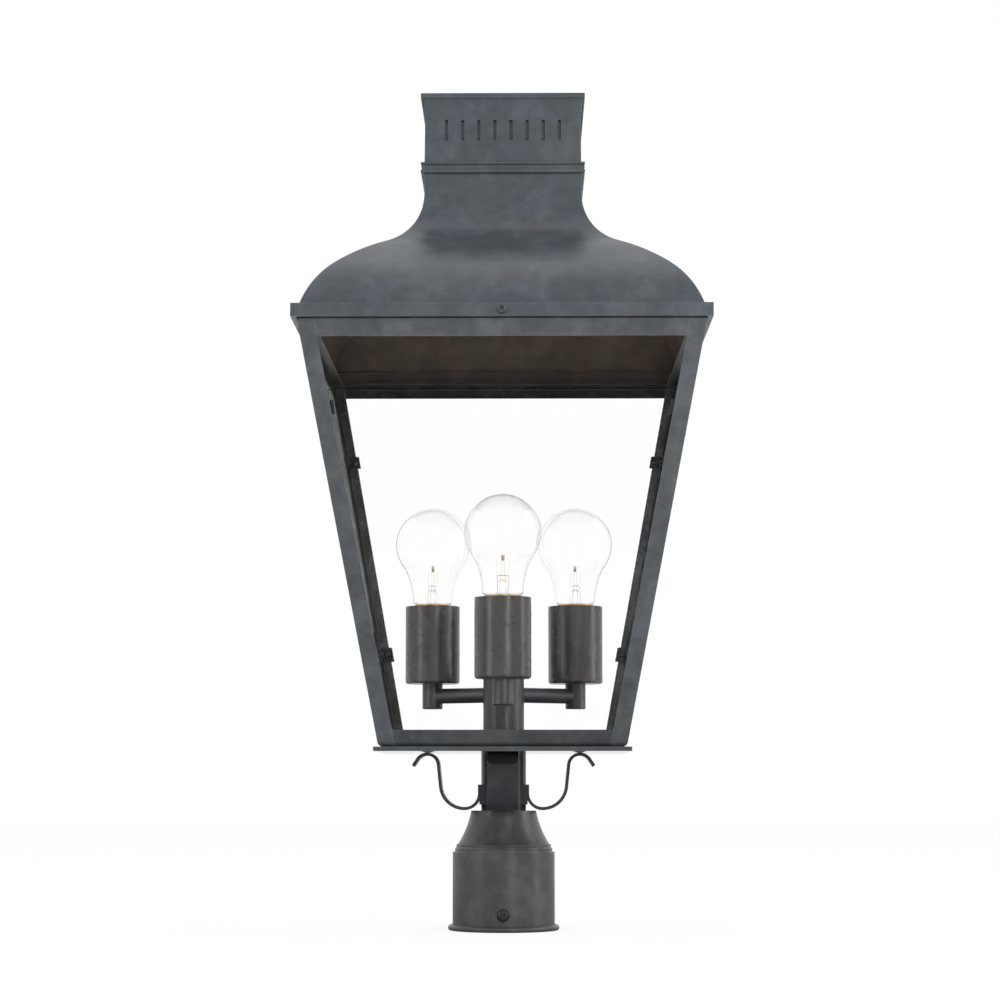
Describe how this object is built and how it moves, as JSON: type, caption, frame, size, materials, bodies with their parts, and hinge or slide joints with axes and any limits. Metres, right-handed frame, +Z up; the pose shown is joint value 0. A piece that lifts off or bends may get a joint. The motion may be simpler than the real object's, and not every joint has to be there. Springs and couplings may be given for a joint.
{
  "type": "post top lantern",
  "caption": "Square tapered outdoor post top lantern with clear glass panes, bell-shaped roof, slotted chimney, upright bulb cluster, scroll brackets and round post fitter.",
  "frame": {"origin": "centre of the fitter's lower rim, where the post goes in", "axes": "+Z up along the post, -Y the pictured front, +X to the right as seen from the front"},
  "size_m": [0.3168, 0.3218, 0.6602],
  "materials": {
    "graphite_metal": "mottled satin graphite",
    "cluster_metal": "satin warm grey",
    "pane_glass": "clear, polished",
    "bulb_glass": "clear, polished",
    "brass": "plain rolled brass",
    "lamp_stem": "clear stem with metal wires",
    "ceramic": "glazed",
    "black_clip": "satin black",
    "steel": "darkened steel"
  },
  "bodies": {
    "lantern": {"arm_hubs": "cluster_metal", "base_plate": "graphite_metal", "bottom_rail_back": "graphite_metal", "bottom_rail_front": "graphite_metal", "bottom_rail_left": "graphite_metal", "bottom_rail_right": "graphite_metal", "clip_screws": "steel", "cluster_column": "cluster_metal", "column_cap": "cluster_metal", "fitter_neck": "graphite_metal", "glass_clips": "black_clip", "lamp_arms": "cluster_metal", "lampholders": "ceramic", "lock_nuts": "steel", "lower_column": "graphite_metal", "pane_back": "pane_glass", "pane_front": "pane_glass", "pane_left": "pane_glass", "pane_right": "pane_glass", "post_back_left": "graphite_metal", "post_back_right": "graphite_metal", "post_front_left": "graphite_metal", "post_front_right": "graphite_metal", "post_sleeve": "graphite_metal", "roof_seat": "graphite_metal", "screw_shells": "brass", "scroll_back": "graphite_metal", "scroll_front": "graphite_metal", "scroll_left": "graphite_metal", "scroll_right": "graphite_metal", "socket_cover_front": "cluster_metal", "socket_cover_left": "cluster_metal", "socket_cover_right": "cluster_metal", "threaded_pipe": "steel", "top_rail_back": "graphite_metal", "top_rail_front": "graphite_metal", "top_rail_left": "graphite_metal", "top_rail_right": "graphite_metal"},
    "roof": {"chimney_lid": "graphite_metal", "chimney_wall": "graphite_metal", "eave_band": "graphite_metal", "neck_band": "graphite_metal", "roof_panel_back": "graphite_metal", "roof_panel_front": "graphite_metal", "roof_panel_left": "graphite_metal", "roof_panel_right": "graphite_metal"},
    "roof_screw_front": {"roof_screw_front": "steel"},
    "roof_screw_back": {"roof_screw_back": "steel"},
    "bulb_front": {"bulb_glass_front": "bulb_glass", "bulb_base_front": "brass", "filament_front": "lamp_stem"},
    "bulb_left": {"bulb_glass_left": "bulb_glass", "bulb_base_left": "brass", "filament_left": "lamp_stem"},
    "bulb_right": {"bulb_glass_right": "bulb_glass", "bulb_base_right": "brass", "filament_right": "lamp_stem"},
    "set_screw_front": {"set_screw_front": "steel"},
    "set_screw_left": {"set_screw_left": "steel"},
    "set_screw_right": {"set_screw_right": "steel"}
  },
  "joints": [
    {"name": "roof_lift", "type": "slide", "parent": "lantern", "child": "roof", "axis": [0, 0, 1], "range_m": [0, 0.12]},
    {"name": "roof_screw_front_turn", "type": "slide", "parent": "roof", "child": "roof_screw_front", "axis": [0, -1, 0], "range_m": [0, 0.004]},
    {"name": "roof_screw_back_turn", "type": "slide", "parent": "roof", "child": "roof_screw_back", "axis": [0, 1, 0], "range_m": [0, 0.004]},
    {"name": "bulb_front_unscrew", "type": "slide", "parent": "lantern", "child": "bulb_front", "axis": [0, 0, 1], "range_m": [0, 0.035]},
    {"name": "bulb_right_unscrew", "type": "slide", "parent": "lantern", "child": "bulb_right", "axis": [0, 0, 1], "range_m": [0, 0.035]},
    {"name": "bulb_left_unscrew", "type": "slide", "parent": "lantern", "child": "bulb_left", "axis": [0, 0, 1], "range_m": [0, 0.035]},
    {"name": "set_screw_front_turn", "type": "slide", "parent": "lantern", "child": "set_screw_front", "axis": [0, -1, 0], "range_m": [-0.0012, 0.004]},
    {"name": "set_screw_right_turn", "type": "slide", "parent": "lantern", "child": "set_screw_right", "axis": [0.866, 0.5, 0], "range_m": [-0.0012, 0.004]},
    {"name": "set_screw_left_turn", "type": "slide", "parent": "lantern", "child": "set_screw_left", "axis": [-0.866, 0.5, 0], "range_m": [-0.0012, 0.004]}
  ]
}
